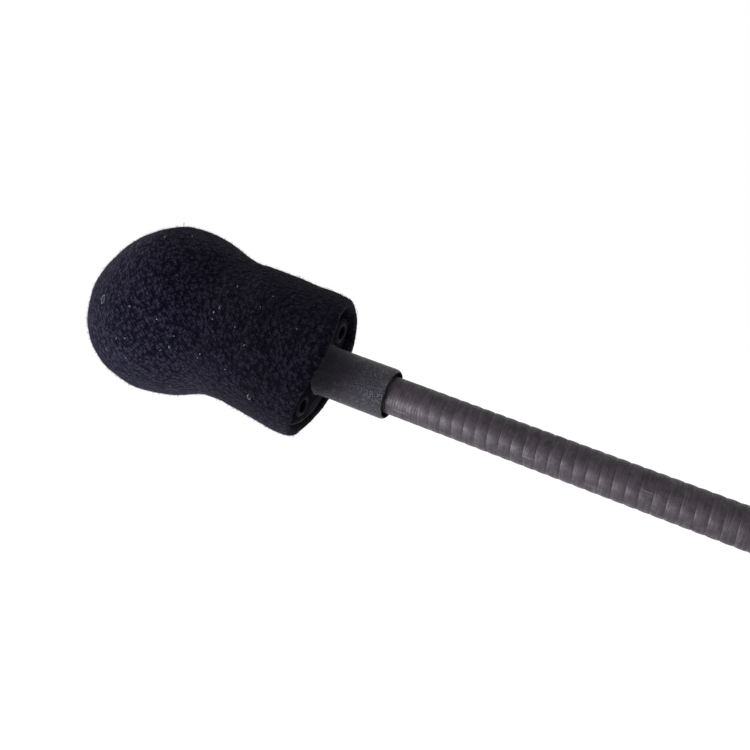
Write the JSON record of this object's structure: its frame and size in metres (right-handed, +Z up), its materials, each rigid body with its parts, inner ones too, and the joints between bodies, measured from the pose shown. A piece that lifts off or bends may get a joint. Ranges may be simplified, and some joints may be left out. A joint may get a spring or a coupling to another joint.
{
  "type": "gooseneck podium microphone",
  "caption": "Gooseneck podium microphone: knit-covered foam windscreen over a capsule head, moulded boot, wound flexible neck and a flange base with a cable receptacle.",
  "frame": {"origin": "centre of the mounting flange's underside, on the surface that the microphone is screwed to", "axes": "+Z up along the base and the lower neck; -Y towards the talker, where the head points; +X to the talker's left hand side"},
  "size_m": [0.064, 0.2782, 0.3591],
  "materials": {
    "black_coated_metal": "fine-textured matt black coating",
    "isolator_rubber": "soft matt",
    "black_screws": "black oxide",
    "connector_shell": "moulded, matt",
    "silvered_contacts": "silver plated",
    "circuit_board": "solder mask over glass laminate",
    "board_components": "moulded component bodies",
    "plain_brass": "turned",
    "lead_jacket": "extruded jacket",
    "grained_boot": "moulded with a leather grain",
    "black_moulding": "moulded, matt",
    "grille_metal": "perforated steel, matt black",
    "felt": "pressed felt",
    "capsule_rubber": "soft moulded",
    "capsule_metal": "drawn can",
    "diaphragm_film": "metallised film",
    "white_moulding": "moulded, satin",
    "windscreen_knit": "black knit with a short pile",
    "windscreen_foam": "open-cell foam",
    "neck_winding": "matt black baked finish on a wound steel neck"
  },
  "bodies": {
    "base": {"flange_plate": "black_coated_metal", "isolator_ring": "isolator_rubber", "clamp_ring": "black_coated_metal", "clamp_screws": "black_screws", "base_sleeve": "black_coated_metal", "xlr_insert": "connector_shell", "xlr_contacts": "silvered_contacts", "insert_screw": "black_screws", "preamp_board": "circuit_board", "board_parts": "board_components", "base_lead": "lead_jacket", "neck_bottom_ferrule": "black_coated_metal", "neck_set_screw": "black_screws", "neck_coil_01": "neck_winding"},
    "neck_01": {"neck_coil_02": "neck_winding", "neck_lead_01": "lead_jacket"},
    "neck_02": {"neck_coil_03": "neck_winding", "neck_lead_02": "lead_jacket"},
    "neck_03": {"neck_coil_04": "neck_winding", "neck_lead_03": "lead_jacket"},
    "neck_04": {"neck_coil_05": "neck_winding", "neck_lead_04": "lead_jacket"},
    "neck_05": {"neck_coil_06": "neck_winding", "neck_lead_05": "lead_jacket"},
    "neck_06": {"neck_coil_07": "neck_winding", "neck_lead_06": "lead_jacket"},
    "neck_07": {"neck_coil_08": "neck_winding", "neck_lead_07": "lead_jacket"},
    "neck_08": {"neck_coil_09": "neck_winding", "neck_lead_08": "lead_jacket"},
    "neck_09": {"neck_coil_10": "neck_winding", "neck_lead_09": "lead_jacket"},
    "neck_10": {"neck_coil_11": "neck_winding", "neck_lead_10": "lead_jacket"},
    "neck_11": {"neck_coil_12": "neck_winding", "neck_lead_11": "lead_jacket"},
    "head": {"neck_coil_13": "neck_winding", "head_lead": "lead_jacket", "neck_top_ferrule": "plain_brass", "boot": "grained_boot", "boot_screws": "black_screws", "rear_plate": "black_moulding", "head_housing": "black_moulding", "grille_ring": "black_moulding", "grille_basket": "grille_metal", "acoustic_felt": "felt", "capsule_mount": "capsule_rubber", "capsule_can": "capsule_metal", "diaphragm": "diaphragm_film", "backplate": "plain_brass", "backplate_holder": "white_moulding", "capsule_board": "circuit_board"},
    "windscreen": {"fabric_cover": "windscreen_knit", "foam_windscreen": "windscreen_foam", "hem_band": "windscreen_knit"}
  },
  "joints": [
    {"name": "low_fore_1", "type": "hinge", "parent": "base", "child": "neck_01", "pos_m": [0, 0, 0.07672], "axis": [1, 0, 0], "range_deg": [-25, 10]},
    {"name": "low_side_1", "type": "hinge", "parent": "neck_01", "child": "neck_02", "pos_m": [0, 0, 0.10715], "axis": [0, 1, 0], "range_deg": [-14, 14]},
    {"name": "low_fore_2", "type": "hinge", "parent": "neck_02", "child": "neck_03", "pos_m": [0, 0, 0.13758], "axis": [1, 0, 0], "range_deg": [-25, 10]},
    {"name": "low_side_2", "type": "hinge", "parent": "neck_03", "child": "neck_04", "pos_m": [0, 0, 0.16801], "axis": [0, 1, 0], "range_deg": [-14, 14]},
    {"name": "low_fore_3", "type": "hinge", "parent": "neck_04", "child": "neck_05", "pos_m": [0, -0.00054, 0.19843], "axis": [1, 0, 0], "range_deg": [-25, 10]},
    {"name": "low_side_3", "type": "hinge", "parent": "neck_05", "child": "neck_06", "pos_m": [0, -0.00769, 0.22791], "axis": [0, 0.9301, 0.3674], "range_deg": [-14, 14]},
    {"name": "high_fore_1", "type": "hinge", "parent": "neck_06", "child": "neck_07", "pos_m": [0, -0.02262, 0.25432], "axis": [1, 0, 0], "range_deg": [-22, 8]},
    {"name": "high_side_1", "type": "hinge", "parent": "neck_07", "child": "neck_08", "pos_m": [0, -0.04419, 0.27564], "axis": [0, 0.5982, 0.8013], "range_deg": [-14, 14]},
    {"name": "high_fore_2", "type": "hinge", "parent": "neck_08", "child": "neck_09", "pos_m": [0, -0.07077, 0.29027], "axis": [1, 0, 0], "range_deg": [-22, 8]},
    {"name": "high_side_2", "type": "hinge", "parent": "neck_09", "child": "neck_10", "pos_m": [0, -0.09973, 0.2996], "axis": [0, 0.3007, 0.9537], "range_deg": [-14, 14]},
    {"name": "high_fore_3", "type": "hinge", "parent": "neck_10", "child": "neck_11", "pos_m": [0, -0.12876, 0.30875], "axis": [1, 0, 0], "range_deg": [-22, 8]},
    {"name": "high_side_3", "type": "hinge", "parent": "neck_11", "child": "head", "pos_m": [0, -0.15778, 0.3179], "axis": [0, 0.3007, 0.9537], "range_deg": [-14, 14]},
    {"name": "windscreen_pull", "type": "slide", "parent": "head", "child": "windscreen", "axis": [0, -0.9537, 0.3007], "range_m": [0, 0.05]}
  ],
  "couplings": [
    {"joint": "low_fore_2", "follows": "low_fore_1", "ratio": 1},
    {"joint": "low_side_2", "follows": "low_side_1", "ratio": 1},
    {"joint": "low_fore_3", "follows": "low_fore_1", "ratio": 1},
    {"joint": "low_side_3", "follows": "low_side_1", "ratio": 1},
    {"joint": "high_fore_2", "follows": "high_fore_1", "ratio": 1},
    {"joint": "high_side_2", "follows": "high_side_1", "ratio": 1},
    {"joint": "high_fore_3", "follows": "high_fore_1", "ratio": 1},
    {"joint": "high_side_3", "follows": "high_side_1", "ratio": 1}
  ]
}
